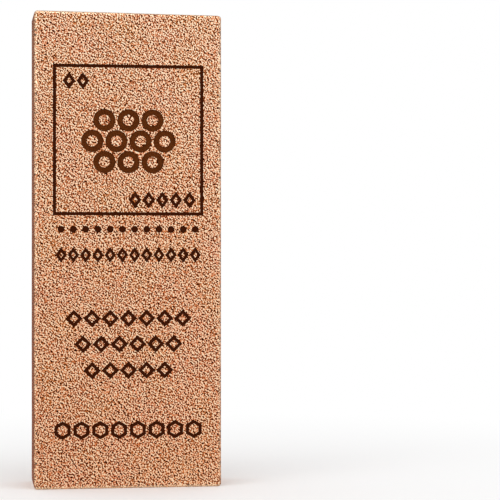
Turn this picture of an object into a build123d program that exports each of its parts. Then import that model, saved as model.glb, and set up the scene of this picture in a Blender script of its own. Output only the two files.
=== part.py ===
from build123d import *
import os

# One ingot of copper: a length sawn off a thick flat bar, tumbled so that every
# edge is soft, with a square line engraved round the upper half of its front.
# It stands on its lower sawn end. X is the width, Y the thickness with the
# engraved front toward -Y, and Z the length, with the origin under its middle.

# The bar
WIDTH = 63.0
THICKNESS = 25.4
LENGTH = 160.0
LONG_EDGE_RADIUS = 1.3  # the drawn bar's own soft corner, along its length
SAWN_EDGE_RADIUS = 1.1  # left by the tumbling round each sawn end

# The upper cut runs slightly out of square: the end falls this much to the right
SAW_DROP = 0.7

# The engraved square, measured to the middle of its line
FRAME_SIZE = 49.5
FRAME_TOP_MARGIN = 18.4  # from the bar's upper end down to the square's top line
FRAME_LINE = 1.1
FRAME_DEPTH = 0.3

front = Plane.XZ.offset(THICKNESS / 2)
frame_middle = LENGTH - FRAME_TOP_MARGIN - FRAME_SIZE / 2

with BuildPart() as ingot:
    # The blank: the broad face's outline with its sloping upper cut, made as
    # thick as the bar
    with BuildSketch(front):
        with BuildLine():
            Polyline(
                (-WIDTH / 2, 0),
                (WIDTH / 2, 0),
                (WIDTH / 2, LENGTH - SAW_DROP),
                (-WIDTH / 2, LENGTH),
                close=True,
            )
        make_face()
    extrude(amount=-THICKNESS)

    # Soft edges: the four long ones first, then the ring round each sawn end
    fillet(ingot.edges().filter_by(Axis.Z), radius=LONG_EDGE_RADIUS)
    upper_end = ingot.faces().sort_by(Axis.Z)[-1]
    lower_end = ingot.faces().sort_by(Axis.Z)[0]
    fillet(upper_end.edges() + lower_end.edges(), radius=SAWN_EDGE_RADIUS)

    # The engraved square: a shallow flat-bottomed groove in the front
    with BuildSketch(front):
        with Locations((0, frame_middle)):
            Rectangle(FRAME_SIZE + FRAME_LINE, FRAME_SIZE + FRAME_LINE)
            Rectangle(
                FRAME_SIZE - FRAME_LINE,
                FRAME_SIZE - FRAME_LINE,
                mode=Mode.SUBTRACT,
            )
    extrude(amount=-FRAME_DEPTH, mode=Mode.SUBTRACT)

ingot.part.label = "ingot"
os.makedirs("parts", exist_ok=True)
export_step(ingot.part, "parts/ingot.step")
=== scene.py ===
# %% [markdown]
# # A tumbled copper ingot
# The object is one bar of solid copper, standing on its sawn end. It was sawn from thick flat
# bar, tumbled with stones until its edges went soft and its skin went pebbly, and then burned
# by a laser, which left shallow brown marks in the front.
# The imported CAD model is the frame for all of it, so it is loaded before anything is made.

# %% Load the frame
import math

import bmesh
import bpy
import numpy as np
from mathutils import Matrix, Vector, kdtree, noise


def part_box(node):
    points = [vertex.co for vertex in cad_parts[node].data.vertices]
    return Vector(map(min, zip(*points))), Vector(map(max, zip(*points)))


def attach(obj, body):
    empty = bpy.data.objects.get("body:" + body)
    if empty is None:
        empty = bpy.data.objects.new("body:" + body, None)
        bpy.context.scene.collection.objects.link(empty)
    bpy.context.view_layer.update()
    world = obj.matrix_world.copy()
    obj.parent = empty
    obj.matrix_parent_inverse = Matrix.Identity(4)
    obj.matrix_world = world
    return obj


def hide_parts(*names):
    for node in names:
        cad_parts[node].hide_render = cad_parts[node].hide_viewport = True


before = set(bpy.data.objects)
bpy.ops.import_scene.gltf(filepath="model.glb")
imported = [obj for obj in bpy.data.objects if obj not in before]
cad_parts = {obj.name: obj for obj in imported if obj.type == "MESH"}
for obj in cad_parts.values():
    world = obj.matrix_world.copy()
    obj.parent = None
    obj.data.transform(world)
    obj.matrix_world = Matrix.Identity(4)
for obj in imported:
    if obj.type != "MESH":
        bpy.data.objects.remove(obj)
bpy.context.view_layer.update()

MM = 0.001
bar_low, bar_high = (np.array(corner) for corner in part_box("ingot"))
bar_size = bar_high - bar_low
bar_middle = (bar_high + bar_low) / 2
print("bar, mm:", (bar_size / MM).round(2))

# %% [markdown]
# ## The blank
# A bar with soft edges could be a cube with a bevel. The tumbling has to move the skin
# everywhere, though, and that needs points all over it, evenly spread. So the blank is a box of
# six fine grids whose points are pulled onto the rounded box inside it. Each point is measured
# from the nearest point of a smaller inner box, and set at the edge radius from there.

# %% Grid stops along one side
GRID_STEP = 0.67 * MM
LONG_EDGE_RADIUS = 1.3 * MM
SAWN_EDGE_RADIUS = 1.1 * MM
EDGE_STEPS = 4
edge_radii = np.array([LONG_EDGE_RADIUS, LONG_EDGE_RADIUS, SAWN_EDGE_RADIUS])
inner_half = bar_size / 2 - edge_radii


def grid_stops(axis):
    """Even stops across the flat, and stops at equal angles round each soft edge."""
    flat = inner_half[axis]
    count = round(2 * flat / GRID_STEP)
    angles = np.linspace(0, math.pi / 4, EDGE_STEPS + 1)[1:]
    round_part = flat + edge_radii[axis] * np.tan(angles)
    return np.concatenate([-round_part[::-1], np.linspace(-flat, flat, count + 1), round_part])


stops = [grid_stops(axis) for axis in range(3)]
print("grid stops:", [len(s) for s in stops])

# %% The six grids as one closed shell
SAME_PLACE = 0.0001 * MM


def box_shell():
    """Points and quads of a box about its own middle, made of six grids that share their rims."""
    points = []
    quads = []
    start = 0
    for axis in range(3):
        across, along = (axis + 1) % 3, (axis + 2) % 3
        grid_across, grid_along = np.meshgrid(stops[across], stops[along], indexing="ij")
        rows, columns = grid_across.shape
        corner = np.arange(rows - 1)[:, None] * columns + np.arange(columns - 1)[None, :]
        ring = np.stack([corner, corner + columns, corner + columns + 1, corner + 1], -1)
        for side in (-1, 1):
            face = np.empty((rows, columns, 3))
            face[..., axis] = side * bar_size[axis] / 2
            face[..., across] = grid_across
            face[..., along] = grid_along
            points.append(face.reshape(-1, 3))
            quads.append(ring.reshape(-1, 4)[:, ::side] + start)
            start += rows * columns
    points, quads = np.concatenate(points), np.concatenate(quads)
    keys = np.round(points / SAME_PLACE).astype(np.int64)
    _, first, same = np.unique(keys, axis=0, return_index=True, return_inverse=True)
    return points[first], same.reshape(-1)[quads]


def outward(points):
    """The skin's direction at points about the bar's middle, and the inner box's nearest points."""
    nearest = np.clip(points, -inner_half, inner_half)
    direction = (points - nearest) / edge_radii
    direction /= np.linalg.norm(direction, axis=1)[:, None]
    return direction, nearest


shell_points, shell_quads = box_shell()
shell_direction, shell_inner = outward(shell_points)
blank_points = shell_inner + shell_direction * edge_radii + bar_middle
print("blank:", len(blank_points), "points,", len(shell_quads), "quads")

# %% [markdown]
# ## The upper cut
# The saw ran slightly out of square, so the upper end falls a little to the right. A tilted
# plane could cut it, but would leave a sharp rim to soften again. Every point is let down in
# proportion to its height instead, which keeps the soft rim and leaves the foot flat.

# %% Slope the upper end
SAW_DROP = 0.7 * MM
across = (blank_points[:, 0] - bar_low[0]) / bar_size[0]
up = (blank_points[:, 2] - bar_low[2]) / bar_size[2]
blank_points[:, 2] -= SAW_DROP * across * up
print("upper end falls by, mm:", SAW_DROP / MM)

# %% Make the blank's mesh
ingot_mesh = bpy.data.meshes.new("ingot_skin")
ingot_mesh.from_pydata(blank_points.tolist(), [], shell_quads.tolist())
ingot = bpy.data.objects.new("ingot_skin", ingot_mesh)
bpy.context.scene.collection.objects.link(ingot)
print("mesh:", len(ingot_mesh.vertices), "points,", len(ingot_mesh.polygons), "faces")

# %% [markdown]
# ## The marks
# A laser burned the marks three tenths of a millimetre deep. They could be painted by the
# material, but a real recess catches light on its walls from every side. Each mark is a closed
# outline, or two when it is a line round something, and is made into a thin cutter.

# %% Outlines for the marks, in millimetres across and up the front
def regular(sides, radius, x=0.0, z=0.0, turn=0.0, tall=1.0):
    """The corners of a regular outline round (x, z), its height stretched by tall."""
    angles = turn + np.arange(sides) * 2 * math.pi / sides
    return np.stack([x + radius * np.cos(angles), z + tall * radius * np.sin(angles)], 1)


def lined(sides, radius, line, x, z, turn=0.0, tall=1.0):
    """A closed line of one width: its outer and its inner outline."""
    inset = line / math.cos(math.pi / sides)
    return regular(sides, radius, x, z, turn, tall), regular(sides, radius - inset, x, z, turn, tall)


def row_of(count, pitch, middle=0.0):
    """The places across the front of a row, spaced evenly about its middle."""
    return [middle + (k - (count - 1) / 2) * pitch for k in range(count)]


# %% The square
SQUARE_SIZE = 49.5
SQUARE_MIDDLE = 116.85
SQUARE_LINE = 1.1
half_diagonal = (SQUARE_SIZE + SQUARE_LINE) / 2 * math.sqrt(2)
marks = [lined(4, half_diagonal, SQUARE_LINE, 0, SQUARE_MIDDLE, turn=math.pi / 4)]
print("square, mm:", SQUARE_SIZE)

# %% The rings in the square, in three rows that nest
RING_SIDES = 40
RING_RADIUS = 3.75
RING_LINE = 1.9
RING_PITCH = 8.1
RINGS_DROP = 0.4
row_rise = RING_PITCH * math.sqrt(3) / 2
ring_rows = [(3, 1), (4, 0), (3, -1)]
for count, level in ring_rows:
    z = SQUARE_MIDDLE - RINGS_DROP + level * row_rise
    for x in row_of(count, RING_PITCH):
        marks.append(lined(RING_SIDES, RING_RADIUS, RING_LINE, x, z))
print("marks so far:", len(marks))

# %% The small lozenges in two corners of the square
LOZENGE_SIDES = 4
SMALL_RADIUS = 2.15
SMALL_LINE = 0.95
SMALL_TALL = 1.35
SMALL_PITCH = 4.6
UPPER_COUNT, UPPER_ACROSS, UPPER_RISE = 2, -17.6, 19.7
LOWER_COUNT, LOWER_ACROSS, LOWER_DROP = 5, 11.4, 20.1
upper_row = (UPPER_COUNT, UPPER_ACROSS, SQUARE_MIDDLE + UPPER_RISE)
lower_row = (LOWER_COUNT, LOWER_ACROSS, SQUARE_MIDDLE - LOWER_DROP)
for count, middle, z in (upper_row, lower_row):
    for x in row_of(count, SMALL_PITCH, middle):
        marks.append(lined(LOZENGE_SIDES, SMALL_RADIUS, SMALL_LINE, x, z, tall=SMALL_TALL))
print("marks so far:", len(marks))

# %% Two close rows under the square: beads, and narrow lozenges
CLOSE_COUNT = 12
CLOSE_PITCH = 4.1
BEAD_SIDES = 16
BEAD_RADIUS = 1.15
BEAD_HEIGHT = 86.9
NARROW_RADIUS = 1.9
NARROW_LINE = 0.85
NARROW_TALL = 1.4
NARROW_HEIGHT = 78.3
for x in row_of(CLOSE_COUNT, CLOSE_PITCH):
    marks.append((regular(BEAD_SIDES, BEAD_RADIUS, x, BEAD_HEIGHT), None))
for x in row_of(CLOSE_COUNT, CLOSE_PITCH):
    marks.append(lined(LOZENGE_SIDES, NARROW_RADIUS, NARROW_LINE, x, NARROW_HEIGHT, tall=NARROW_TALL))
print("marks so far:", len(marks))

# %% Three rows of lozenges, and a row of six-sided rings at the foot
LOZENGE_RADIUS = 2.95
LOZENGE_LINE = 1.1
LOZENGE_PITCH = 6.1
lozenge_rows = [(7, 57.0), (6, 48.4), (5, 39.6)]
for count, z in lozenge_rows:
    for x in row_of(count, LOZENGE_PITCH):
        marks.append(lined(LOZENGE_SIDES, LOZENGE_RADIUS, LOZENGE_LINE, x, z))

SIX_SIDED_COUNT = 8
SIX_SIDED_RADIUS = 3.1
SIX_SIDED_LINE = 1.1
SIX_SIDED_PITCH = 6.3
SIX_SIDED_HEIGHT = 19.6
for x in row_of(SIX_SIDED_COUNT, SIX_SIDED_PITCH):
    marks.append(lined(6, SIX_SIDED_RADIUS, SIX_SIDED_LINE, x, SIX_SIDED_HEIGHT, turn=math.pi / 2))
print("marks in all:", len(marks))

# %% [markdown]
# ## Wandering outlines
# A laser burns in pulses, and the copper between them melts unevenly, so no outline is quite
# straight. The marks could be roughened once they are cut, but the skin's own points lie too
# far apart for that. So each outline is stepped at the pulses first, and its points are pushed
# a little way by one noise that both outlines of a line share, which keeps the line's width.
# This noise starts from a random seed, so the seed is set, and every run wanders the same way.

# %% Step the outlines and push their points
PULSE = 0.45
WANDER = 0.09
WANDER_LENGTH = 0.7
WANDER_SEED = 7
noise.seed_set(WANDER_SEED)


def wandering(outline, pieces):
    """An outline with each side stepped into pieces, and its points pushed about."""
    following = np.roll(outline, -1, axis=0)
    stepped = [a + (b - a) * k / pieces for a, b in zip(outline, following) for k in range(pieces)]
    pushes = [noise.noise_vector(Vector((x, 0, z)) / WANDER_LENGTH) for x, z in stepped]
    return np.array(stepped) + WANDER * np.array(pushes)[:, [0, 2]]


for k, (outer, inner) in enumerate(marks):
    pieces = max(1, round(np.linalg.norm(outer[1] - outer[0]) / PULSE))
    marks[k] = (wandering(outer, pieces), None if inner is None else wandering(inner, pieces))
along_marks = np.concatenate([outline for mark in marks for outline in mark if outline is not None])
print("points on all outlines:", len(along_marks))

# %% [markdown]
# ## Cutting the marks
# The outlines could be cut into the faces one by one, and the metal inside them pushed in. An
# exact boolean does that for all of them at once. Every outline becomes a prism that starts in
# front of the bar and ends at the mark's floor, and all prisms sit in one mesh. It carries the
# burned finish, so that the walls and floors of the marks come out in it.

# %% Prisms from the outlines
MARK_DEPTH = 0.3 * MM
CUTTER_STAND_OFF = 0.5 * MM
front = bar_low[1]
floor_of_mark = front + MARK_DEPTH
start_of_cutter = front - CUTTER_STAND_OFF


def add_prism(mesh, outer, inner):
    """A solid prism, or a tube where there is an inner outline."""
    loops = []
    for outline in (outer, inner):
        if outline is None:
            continue
        for y in (start_of_cutter, floor_of_mark):
            loops.append([mesh.verts.new((x * MM, y, z * MM)) for x, z in outline])
    count = len(outer)
    pairs = [(0, 1)] if inner is None else [(0, 1), (1, 3), (3, 2), (2, 0)]
    for a, b in pairs:
        for k in range(count):
            n = (k + 1) % count
            mesh.faces.new((loops[a][k], loops[b][k], loops[b][n], loops[a][n]))
    if inner is None:
        mesh.faces.new(loops[0])
        mesh.faces.new(loops[1][::-1])


cutter_work = bmesh.new()
for outer, inner in marks:
    add_prism(cutter_work, outer, inner)
bmesh.ops.recalc_face_normals(cutter_work, faces=cutter_work.faces)
cutter_mesh = bpy.data.meshes.new("mark_cutter")
cutter_work.to_mesh(cutter_mesh)
cutter_work.free()
cutter = bpy.data.objects.new("mark_cutter", cutter_mesh)
bpy.context.scene.collection.objects.link(cutter)
print("cutter:", len(cutter_mesh.polygons), "faces")

# %% Take the prisms out of the blank
tumbled_copper = bpy.data.materials.new("tumbled_copper")
burned_copper = bpy.data.materials.new("burned_copper")
ingot_mesh.materials.append(tumbled_copper)
cutter_mesh.materials.append(burned_copper)

cut = ingot.modifiers.new("marks", "BOOLEAN")
cut.operation = "DIFFERENCE"
cut.solver = "EXACT"
cut.object = cutter
cut.material_mode = "TRANSFER"
cut_ingot = ingot.evaluated_get(bpy.context.evaluated_depsgraph_get())
engraved_mesh = bpy.data.meshes.new_from_object(cut_ingot)
ingot.modifiers.clear()
ingot.data = engraved_mesh
bpy.data.objects.remove(cutter)
bpy.data.meshes.remove(ingot_mesh)
engraved_mesh.name = "ingot_skin"
print("engraved:", len(engraved_mesh.vertices), "points")
print("finishes:", [material.name for material in engraved_mesh.materials])

# %% [markdown]
# ## Tumbling
# In the tumbler, stones beat the bar for hours. Each blow leaves a shallow dent, and
# the edges take the most. A sculptor's brush could do it by hand. Here the points are moved
# inward by a few noises, so the bar never grows past the size that the frame gives.

# %% Read the points, their directions, and how far round a soft edge each one lies
points = np.empty(len(engraved_mesh.vertices) * 3)
engraved_mesh.vertices.foreach_get("co", points)
points = points.reshape(-1, 3)
direction, _ = outward(points - bar_middle)
edge = (1 - np.abs(direction).max(1)) / (1 - 1 / math.sqrt(2))
edge = np.clip(edge, 0, 1)
print("points on soft edges:", int((edge > 0).sum()))

# %% Dents, waves and worn edges
STONE_DENT = 2.6 * MM
DENT_REACH = 0.7
DENT_DEPTH = 0.035 * MM
WAVE_LENGTH = 14 * MM
WAVE_DEPTH = 0.05 * MM
EDGE_LENGTH = 5 * MM
EDGE_WEAR = 0.16 * MM
FLOOR_SLACK = 0.01 * MM


def stone_dent(place):
    """1 in the middle of a dent, and 0 at its rim."""
    distance = noise.voronoi(place / STONE_DENT)[0][0]
    return max(0.0, 1 - distance / DENT_REACH) ** 2


def soft_noise(place, length):
    """A smooth noise from 0 to 1."""
    return min(1.0, max(0.0, noise.noise(place / length) * 0.5 + 0.5))


# A mark's floor sinks with the skin above it, so both take the dents of the front's own plane.
depth = np.empty(len(points))
for k, (x, y, z) in enumerate(points):
    in_front = y < floor_of_mark + FLOOR_SLACK
    place = Vector((x, front if in_front else y, z))
    dents = DENT_DEPTH * stone_dent(place)
    waves = WAVE_DEPTH * soft_noise(place, WAVE_LENGTH)
    wear = EDGE_WEAR * edge[k] * soft_noise(place, EDGE_LENGTH) ** 2
    depth[k] = dents + waves + wear
foot = np.clip((points[:, 2] - bar_low[2]) / SAWN_EDGE_RADIUS, 0, 1)
moved = points - direction * (depth * foot)[:, None]
engraved_mesh.vertices.foreach_set("co", moved.ravel())
print("deepest, mm:", round(float(depth.max() / MM), 3))

# %% [markdown]
# ## Heat, rubbing and painted edge highlights
# The laser's heat browned the bare copper round each mark, and the stones rubbed the edges
# bright. The edges are made brighter than rubbing alone would leave them, most of all the
# rims of the sawn ends, as a painted highlight. Both could be painted on by hand. But each
# point's distance from the nearest mark, and its place on an edge, are known already, so they
# are kept with the points as layers of numbers, which the finishes read. A third layer tells
# the thin lines from the wide ones of the rings, which all lie near the square's middle.

# %% Three layers for the finishes
HEAT_REACH = 0.9 * MM
FRONT_REACH = 1 * MM
WIDE_REACH = 18 * MM
LONG_EDGE_RUB_AND_HIGHLIGHT = 0.4
nearest_mark = kdtree.KDTree(len(along_marks))
for k, (x, z) in enumerate(along_marks):
    nearest_mark.insert((x * MM, 0, z * MM), k)
nearest_mark.balance()
heat = np.zeros(len(points))
for k in np.flatnonzero(points[:, 1] < front + FRONT_REACH):
    x, _, z = points[k]
    distance = nearest_mark.find((x, 0, z))[2]
    heat[k] = math.exp(-((distance / HEAT_REACH) ** 2))
# Rubbed edges, brightest on the sawn ends' rims: partly wear, partly a painted highlight.
rubbed_and_highlight = np.sqrt(edge) * np.clip(LONG_EDGE_RUB_AND_HIGHLIGHT + np.abs(direction[:, 2]), 0, 1)
from_middle = np.linalg.norm(points[:, [0, 2]] - (0, SQUARE_MIDDLE * MM), axis=1)
thin = (from_middle > WIDE_REACH).astype(float)
for name, values in (("heat", heat), ("rubbed_and_highlight", rubbed_and_highlight), ("thin", thin)):
    layer = engraved_mesh.attributes.new(name, "FLOAT", "POINT")
    layer.data.foreach_set("value", values.astype(np.float32))
    print(name, "mean:", round(float(values.mean()), 3))

# %% Smooth the skin, and keep the walls of the marks crisp
WALL_ANGLE = math.radians(40)
engraved_mesh.polygons.foreach_set("use_smooth", [True] * len(engraved_mesh.polygons))
engraved_mesh.set_sharp_from_angle(angle=WALL_ANGLE)
engraved_mesh.update()
print("triangles:", sum(len(face.vertices) - 2 for face in engraved_mesh.polygons))

# %% [markdown]
# ## Node helpers
# The finishes could each be built whole, node by node. They share effects, though, so each
# effect is a node group with named inputs and outputs, built once. A few helpers keep the cells
# short: they add a node, do one sum, spread a value over a range, or blend two colours.

# %% Helpers for nodes
def add(tree, kind, values=None, **settings):
    """A node of that kind with its settings, and its sockets' values or links by name."""
    made = tree.nodes.new(kind)
    for name, value in settings.items():
        setattr(made, name, value)
    for name, value in (values or {}).items():
        socket = made.inputs[name]
        if isinstance(value, bpy.types.NodeSocket):
            tree.links.new(value, socket)
        else:
            socket.default_value = value
    return made


def result_of(tree, operation, *values, clamp=False):
    """The result of one sum, such as MULTIPLY or MAXIMUM, on values or links."""
    sockets = dict(enumerate(values))
    return add(tree, "ShaderNodeMath", sockets, operation=operation, use_clamp=clamp).outputs[0]


def spread(tree, value, low, high, to_low=0.0, to_high=1.0, **settings):
    """A value between low and high, spread over another range, which is 0 to 1 unless given."""
    ends = {"Value": value, "From Min": low, "From Max": high, "To Min": to_low, "To Max": to_high}
    return add(tree, "ShaderNodeMapRange", ends, **settings).outputs[0]


def blend(tree, share, first, second, way="MIX"):
    """Two colours blended by share. A Mix node has its colours on sockets 6, 7 and output 2."""
    sockets = {0: share, 6: first, 7: second}
    return add(tree, "ShaderNodeMix", sockets, data_type="RGBA", blend_type=way).outputs[2]


# %% Helpers for groups
def open_group(name, inputs, outputs):
    """A shader node group, with its input and output nodes."""
    group = bpy.data.node_groups.new(name, "ShaderNodeTree")
    for socket_name, value in inputs.items():
        kind = "NodeSocketColor" if isinstance(value, tuple) else "NodeSocketFloat"
        socket = group.interface.new_socket(socket_name, in_out="INPUT", socket_type=kind)
        socket.default_value = value
    for socket_name, kind in outputs.items():
        group.interface.new_socket(socket_name, in_out="OUTPUT", socket_type=kind)
    return group, group.nodes.new("NodeGroupInput"), group.nodes.new("NodeGroupOutput")


def close_group(group, group_out, results):
    """Link the results to the group's outputs of the same names."""
    for name, result in results.items():
        group.links.new(result, group_out.inputs[name])
    print(group.name, "group:", len(group.nodes), "nodes")


# %% [markdown]
# ## Grain
# The skin is covered with pits and humps under half a millimetre across. Displacing
# them would take millions of faces, so they are a bump, and the same heights also set the
# colour: the pits are darker, partly because they keep more oxide and partly as painted
# shade, and the humps are paler, partly rubbed copper and partly a painted highlight.
# One noise alone also has broad patches. Taking off a share of the same noise, read a pebble's
# width away in three directions, evens those out and leaves the fine grain.
# The noise is built on a lattice, and looks finest just beside a plane of it. So the lattice is
# fitted to the bar, with each of the six sides a fifth of a cell inside such a plane.

# %% The grain's lattice
PEBBLES_PER_METRE = 2350
PART_OF_CELL = 0.2
cells = 2 * np.round(bar_size * PEBBLES_PER_METRE / 2) - 2 * PART_OF_CELL

grain_group, grain_in, grain_out = open_group(
    "grain",
    {"Softness": 0.05},
    {"Height": "NodeSocketFloat", "Pits": "NodeSocketFloat", "Humps": "NodeSocketFloat"},
)
grain_where = add(grain_group, "ShaderNodeTexCoord")
lattice_fit = {
    "Vector": grain_where.outputs["Object"],
    "Location": (0.0, 0.0, PART_OF_CELL),
    "Scale": list(cells / bar_size),
}
lattice = add(grain_group, "ShaderNodeMapping", lattice_fit).outputs[0]
print("cells across, through and up the bar:", cells)

# %% The grain's height
NOISE_MEAN = 0.5
PEBBLE_STEP = 0.97
DIRECTIONS = [(1.0, 0.0, 0.4), (0.4, 1.0, 0.0), (0.0, 0.4, 1.0)]
STEP_SHARE = 0.33
MIDDLE_HEIGHT = NOISE_MEAN * (1 - len(DIRECTIONS) * STEP_SHARE)


def pebbles(step):
    """The height of the noise, read a step away."""
    there = add(grain_group, "ShaderNodeVectorMath", {0: lattice, 1: step}, operation="ADD")
    sockets = {"Vector": there.outputs[0], "Scale": 1.0, "Detail": 0.0}
    return add(grain_group, "ShaderNodeTexNoise", sockets).outputs["Fac"]


height = pebbles((0.0, 0.0, 0.0))
for step_direction in DIRECTIONS:
    nearby = pebbles([PEBBLE_STEP * part for part in step_direction])
    height = result_of(grain_group, "MULTIPLY_ADD", nearby, -STEP_SHARE, height)
print("middle height of the grain:", MIDDLE_HEIGHT)

# %% Where the grain has its pits and humps
softness = grain_in.outputs["Softness"]
above = result_of(grain_group, "SUBTRACT", height, MIDDLE_HEIGHT)
below = result_of(grain_group, "SUBTRACT", MIDDLE_HEIGHT, height)
humps = result_of(grain_group, "DIVIDE", above, softness, clamp=True)
pits = result_of(grain_group, "DIVIDE", below, softness, clamp=True)
close_group(grain_group, grain_out, {"Height": height, "Pits": pits, "Humps": humps})

# %% [markdown]
# ## Bloom, and painted shade toward the foot
# Bare copper slowly takes on a thin film that is pinker in one place and more golden
# in another. It could be a painted picture, but one large soft noise, picking between the two
# colours, covers every side without a seam. The group also gives the share of the bar's height
# that lies above each point, with which the colour is darkened toward the foot as painted
# shade, for light that falls from above.

# %% The bloom group
PATCH_DETAIL = 4.0
PATCH_ROUGHNESS = 0.6
ALL_PINK, ALL_GOLDEN = 0.35, 0.65
bloom_and_foot_shade_group, bloom_in, bloom_out = open_group(
    "bloom",
    {"Patches per metre": 60.0, "Pink": (1.0, 0.5, 0.4, 1.0), "Golden": (1.0, 0.6, 0.3, 1.0)},
    {"Color": "NodeSocketColor", "Depth": "NodeSocketFloat"},
)
bloom_where = add(bloom_and_foot_shade_group, "ShaderNodeTexCoord").outputs["Object"]
patch_settings = {
    "Vector": bloom_where,
    "Scale": bloom_in.outputs["Patches per metre"],
    "Detail": PATCH_DETAIL,
    "Roughness": PATCH_ROUGHNESS,
}
patches = add(bloom_and_foot_shade_group, "ShaderNodeTexNoise", patch_settings)
golden_share = spread(bloom_and_foot_shade_group, patches.outputs["Fac"], ALL_PINK, ALL_GOLDEN)
film = blend(bloom_and_foot_shade_group, golden_share, bloom_in.outputs["Pink"], bloom_in.outputs["Golden"])
place_in_bar = add(bloom_and_foot_shade_group, "ShaderNodeSeparateXYZ", {"Vector": bloom_where})
# The share of the height above each point, which darkens the foot as painted shade.
foot_shade_share = spread(bloom_and_foot_shade_group, place_in_bar.outputs["Z"], bar_high[2], bar_low[2])
close_group(bloom_and_foot_shade_group, bloom_out, {"Color": film, "Depth": foot_shade_share})

# %% [markdown]
# ## Tumbled copper
# Bare metal, so fully metallic. One copper colour under the grain's bump would do from afar,
# but near by the real skin is full of small light and dark spots, and the plain white room
# gives the bump little to mirror. So its colour is the bloom, darker in the pits, partly from
# oxide and partly as painted shade, and paler on the humps, partly rubbed copper and partly a
# painted highlight. It is browned where the laser's heat reached, brighter along the edges,
# partly from rubbing and partly as a painted highlight, and darker toward the foot as painted
# shade.

# %% Colours as the eye sees them
def linear(share):
    """The linear value of a share from 0 to 1 of a screen's brightest red, green or blue."""
    return ((share + 0.055) / 1.055) ** 2.4 if share > 0.04 else share / 12.92


def seen(red, green, blue):
    """A colour given from 0 to 255, as the linear values that a shader takes."""
    return (linear(red / 255), linear(green / 255), linear(blue / 255), 1.0)


PINK_COPPER = seen(229, 126, 74)
GOLDEN_COPPER = seen(229, 134, 64)
# Pits: partly oxide, partly painted shade. Humps: rubbed copper and a painted highlight.
PIT_OXIDE_AND_SHADE = seen(30, 0, 0)
RUBBED_AND_HIGHLIGHT_COLOUR = seen(255, 234, 202)
HEAT_COLOUR = seen(222, 162, 104)
EDGE_TINT = seen(104, 48, 14)
# Painted shade: this tint darkens the colour toward the foot.
FOOT_SHADE_TINT = (0.925, 0.81, 0.74, 1.0)
print("bare copper, linear:", [round(part, 3) for part in PINK_COPPER])


# %% The colour of tumbled copper
def clear(material):
    """An emptied node tree with its output node."""
    material.use_nodes = True
    material.node_tree.nodes.clear()
    return material.node_tree, material.node_tree.nodes.new("ShaderNodeOutputMaterial")


TUMBLED_SOFTNESS = 0.16
TUMBLED_PATCHES = 70.0
WARMED_SHARE = 0.6
PITS_LEFT_BY_HEAT = 0.45
RUBBED_AND_HIGHLIGHT_SHARE = 0.55
tree, out = clear(tumbled_copper)
grain = add(tree, "ShaderNodeGroup", {"Softness": TUMBLED_SOFTNESS}, node_tree=grain_group)
bloom_values = {"Patches per metre": TUMBLED_PATCHES, "Pink": PINK_COPPER, "Golden": GOLDEN_COPPER}
bloom = add(tree, "ShaderNodeGroup", bloom_values, node_tree=bloom_and_foot_shade_group)
warmth = add(tree, "ShaderNodeAttribute", attribute_name="heat").outputs["Fac"]
rubbing_and_highlight = add(tree, "ShaderNodeAttribute", attribute_name="rubbed_and_highlight").outputs["Fac"]

warmed_share = result_of(tree, "MULTIPLY", warmth, WARMED_SHARE)
warmed = blend(tree, warmed_share, bloom.outputs["Color"], HEAT_COLOUR)
pits_left = spread(tree, warmth, 0.0, 1.0, 1.0, PITS_LEFT_BY_HEAT)
# Painted shade in the pits, with their oxide, and a painted highlight on the humps.
pit_oxide_and_shade_share = result_of(tree, "MULTIPLY", grain.outputs["Pits"], pits_left)
with_pit_oxide_and_shade = blend(tree, pit_oxide_and_shade_share, warmed, PIT_OXIDE_AND_SHADE)
with_humps_rubbed_and_highlit = blend(tree, grain.outputs["Humps"], with_pit_oxide_and_shade, RUBBED_AND_HIGHLIGHT_COLOUR)
# Brighter edges: partly rubbed copper, partly a painted highlight.
burnish_and_highlight_share = result_of(tree, "MULTIPLY", rubbing_and_highlight, RUBBED_AND_HIGHLIGHT_SHARE)
burnished_and_highlit = blend(tree, burnish_and_highlight_share, with_humps_rubbed_and_highlit, RUBBED_AND_HIGHLIGHT_COLOUR)
# Painted shade: darker toward the foot.
with_foot_shade = blend(tree, bloom.outputs["Depth"], burnished_and_highlit, FOOT_SHADE_TINT, way="MULTIPLY")
print("its colour:", len(tree.nodes), "nodes")

# %% The relief and the shine of tumbled copper
GRAIN_SPREAD = 0.15
TUMBLED_RELIEF = 0.15 * MM
TUMBLED_PIT_ROUGHNESS = 0.50
TUMBLED_HUMP_ROUGHNESS = 0.32


def shine(tree, grain, in_pits, on_humps):
    """The roughness of the skin, from the pits to the humps."""
    low, high = MIDDLE_HEIGHT - GRAIN_SPREAD, MIDDLE_HEIGHT + GRAIN_SPREAD
    return spread(tree, grain.outputs["Height"], low, high, in_pits, on_humps)


def relief(tree, grain, deep):
    """The grain as a bump, so many metres deep."""
    heights = {"Strength": 1.0, "Distance": deep, "Height": grain.outputs["Height"]}
    return add(tree, "ShaderNodeBump", heights).outputs["Normal"]


tumbled_values = {
    "Base Color": with_foot_shade,
    "Metallic": 1.0,
    "Specular Tint": EDGE_TINT,
    "Roughness": shine(tree, grain, TUMBLED_PIT_ROUGHNESS, TUMBLED_HUMP_ROUGHNESS),
    "Normal": relief(tree, grain, TUMBLED_RELIEF),
}
bare_metal = add(tree, "ShaderNodeBsdfPrincipled", tumbled_values)
tree.links.new(bare_metal.outputs[0], out.inputs["Surface"])
print("tumbled copper:", len(tree.nodes), "nodes")

# %% [markdown]
# ## Burned copper
# The laser leaves a dull brown oxide on the floor of each mark, near black in the thin
# lines, which it went over more slowly. Flat brown paint would look printed, so it keeps the
# grain, much shallower. It is no longer bare metal, so it is only partly metallic.

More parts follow.
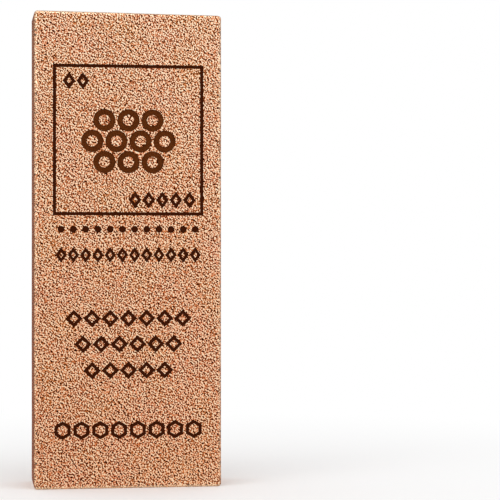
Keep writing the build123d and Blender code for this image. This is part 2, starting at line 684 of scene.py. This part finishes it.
# %% The colour of burned copper
BURN_BROWN = seen(99, 48, 12)
BURN_UMBER = seen(86, 40, 7)
BURN_BLACK = seen(62, 20, 0)
BURNED_SOFTNESS = 0.12
BURNED_PATCHES = 160.0
SOOT_SHARE = 0.5
tree, out = clear(burned_copper)
grain = add(tree, "ShaderNodeGroup", {"Softness": BURNED_SOFTNESS}, node_tree=grain_group)
bloom_values = {"Patches per metre": BURNED_PATCHES, "Pink": BURN_BROWN, "Golden": BURN_UMBER}
bloom = add(tree, "ShaderNodeGroup", bloom_values, node_tree=bloom_and_foot_shade_group)
thinness = add(tree, "ShaderNodeAttribute", attribute_name="thin").outputs["Fac"]
burned = blend(tree, thinness, bloom.outputs["Color"], BURN_BLACK)
soot_share = result_of(tree, "MULTIPLY", grain.outputs["Pits"], SOOT_SHARE)
sooty = blend(tree, soot_share, burned, BURN_BLACK)
print("its colour:", len(tree.nodes), "nodes")

# %% The relief and the shine of burned copper
BURNED_METALLIC = 0.25
BURNED_SPECULAR = 0.06
BURNED_RELIEF = 0.05 * MM
BURNED_PIT_ROUGHNESS = 0.75
BURNED_HUMP_ROUGHNESS = 0.55
burned_values = {
    "Base Color": sooty,
    "Metallic": BURNED_METALLIC,
    "Specular IOR Level": BURNED_SPECULAR,
    "Roughness": shine(tree, grain, BURNED_PIT_ROUGHNESS, BURNED_HUMP_ROUGHNESS),
    "Normal": relief(tree, grain, BURNED_RELIEF),
}
oxide = add(tree, "ShaderNodeBsdfPrincipled", burned_values)
tree.links.new(oxide.outputs[0], out.inputs["Surface"])
print("burned copper:", len(tree.nodes), "nodes")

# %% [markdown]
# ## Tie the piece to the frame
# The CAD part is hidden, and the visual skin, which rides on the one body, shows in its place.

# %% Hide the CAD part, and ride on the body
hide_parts("ingot")
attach(ingot, "root")

# %% [markdown]
# ## The floor
# The bar stands on a plain pale floor, which runs to the horizon. A curved backdrop would hide
# the line where it ends, but also bend the shadow. So near the bar the floor is real paint that
# takes the shadow, and further off it fades into the white of the background. The metal
# mirrors it as plain white, the way it mirrors the rest of the room.

# %% Lay the floor
FLOOR_HALF = 3.0
floor_mesh = bpy.data.meshes.new("floor")
floor_corners = [(-1, -1), (1, -1), (1, 1), (-1, 1)]
floor_points = [(x * FLOOR_HALF, y * FLOOR_HALF, bar_low[2]) for x, y in floor_corners]
floor_mesh.from_pydata(floor_points, [], [(0, 1, 2, 3)])
floor = bpy.data.objects.new("floor", floor_mesh)
bpy.context.scene.collection.objects.link(floor)
print("floor, m:", 2 * FLOOR_HALF)

# %% Paint the floor
FADE_START = 0.06
FADE_END = 0.3
PALE = (0.95, 0.95, 0.95, 1.0)
WHITE = (1.0, 1.0, 1.0, 1.0)


def share_of_white(tree, to_camera, path):
    """How much plain white shows: the camera's share of it, and all of it in metal and glass."""
    in_metal = result_of(tree, "MAXIMUM", to_camera, path.outputs["Is Glossy Ray"])
    return result_of(tree, "MAXIMUM", in_metal, path.outputs["Is Transmission Ray"])


floor_paint = bpy.data.materials.new("floor_paint")
floor_mesh.materials.append(floor_paint)
tree, out = clear(floor_paint)
floor_where = add(tree, "ShaderNodeTexCoord").outputs["Object"]
how_far = add(tree, "ShaderNodeVectorMath", {0: floor_where}, operation="LENGTH").outputs["Value"]
fade = spread(tree, how_far, FADE_START, FADE_END, interpolation_type="SMOOTHSTEP")
path = add(tree, "ShaderNodeLightPath")
faded_to_camera = result_of(tree, "MULTIPLY", fade, path.outputs["Is Camera Ray"])
white_share = share_of_white(tree, faded_to_camera, path)
paint = add(tree, "ShaderNodeBsdfDiffuse", {"Color": PALE})
far_white = add(tree, "ShaderNodeEmission", {"Color": WHITE, "Strength": 1.0})
faded = add(tree, "ShaderNodeMixShader", {0: white_share, 1: paint.outputs[0], 2: far_white.outputs[0]})
tree.links.new(faded.outputs[0], out.inputs["Surface"])
print("floor paint:", len(tree.nodes), "nodes")

# %% [markdown]
# ## White surroundings
# What the camera and the metal see of the room is plain white. One white world at full strength
# would also light everything from all sides and leave no shading. So what lights the floor and
# other dull surfaces is a weaker grey, and the lamps still shape them.

# %% World
AMBIENT = 0.8
world = bpy.data.worlds.new("white_room")
bpy.context.scene.world = world
world.use_nodes = True
tree = world.node_tree
tree.nodes.clear()
path = add(tree, "ShaderNodeLightPath")
white_share = share_of_white(tree, path.outputs["Is Camera Ray"], path)
room = add(tree, "ShaderNodeBackground", {"Color": WHITE, "Strength": AMBIENT})
white = add(tree, "ShaderNodeBackground", {"Color": WHITE, "Strength": 1.0})
mixed = add(tree, "ShaderNodeMixShader", {0: white_share, 1: room.outputs[0], 2: white.outputs[0]})
world_out = tree.nodes.new("ShaderNodeOutputWorld")
tree.links.new(mixed.outputs[0], world_out.inputs["Surface"])
print("ambient:", AMBIENT)

# %% [markdown]
# ## Lamps
# One wide soft box hangs over the bar, slightly in front, and two weaker ones stand left and
# right of the camera. Small bare lamps would put hard glints on the grain and a hard shadow on
# the floor, and wide ones spread both out.

# %% Soft boxes
heart = Vector((0.0, 0.0, bar_middle[2]))


def soft_box(name, place, width, height, power):
    """A rectangular lamp at a place, turned to the heart of the bar, in metres and watts."""
    data = bpy.data.lights.new(name, "AREA")
    data.shape = "RECTANGLE"
    data.size = width
    data.size_y = height
    data.energy = power
    lamp = bpy.data.objects.new(name, data)
    lamp.location = place
    lamp.rotation_euler = (heart - Vector(place)).to_track_quat("-Z", "Y").to_euler()
    bpy.context.scene.collection.objects.link(lamp)


soft_box("overhead", (0.0, -0.35, 0.95), width=0.9, height=0.6, power=2.2)
soft_box("left", (-0.9, -0.7, 0.45), width=0.5, height=0.5, power=1.4)
soft_box("right", (0.9, -0.8, 0.45), width=0.5, height=0.5, power=1.0)
print("lamps:", len(bpy.data.lights))

# %% [markdown]
# ## Camera
# The camera stands level at half the bar's height, with the bar in the left of the
# picture, turned so that a sliver of its left side shows. It could be aimed by hand, but its
# place, its turn and its lens were found by fitting the bar's corners to those in the picture.

# %% Camera
CAMERA_PLACE = (-0.05383, -0.64398, 0.07995)
CAMERA_TURN = math.radians(8.563)
FOCAL_PIXELS = 1884.0
PICTURE_WIDTH = 500
camera_data = bpy.data.cameras.new("camera")
camera_data.lens = FOCAL_PIXELS / PICTURE_WIDTH * camera_data.sensor_width
camera = bpy.data.objects.new("camera", camera_data)
camera.location = CAMERA_PLACE
camera.rotation_euler = (math.pi / 2, 0.0, -CAMERA_TURN)
bpy.context.scene.collection.objects.link(camera)
bpy.context.scene.camera = camera
bpy.context.scene.view_settings.view_transform = "Standard"
print("lens, mm:", round(camera_data.lens, 1))
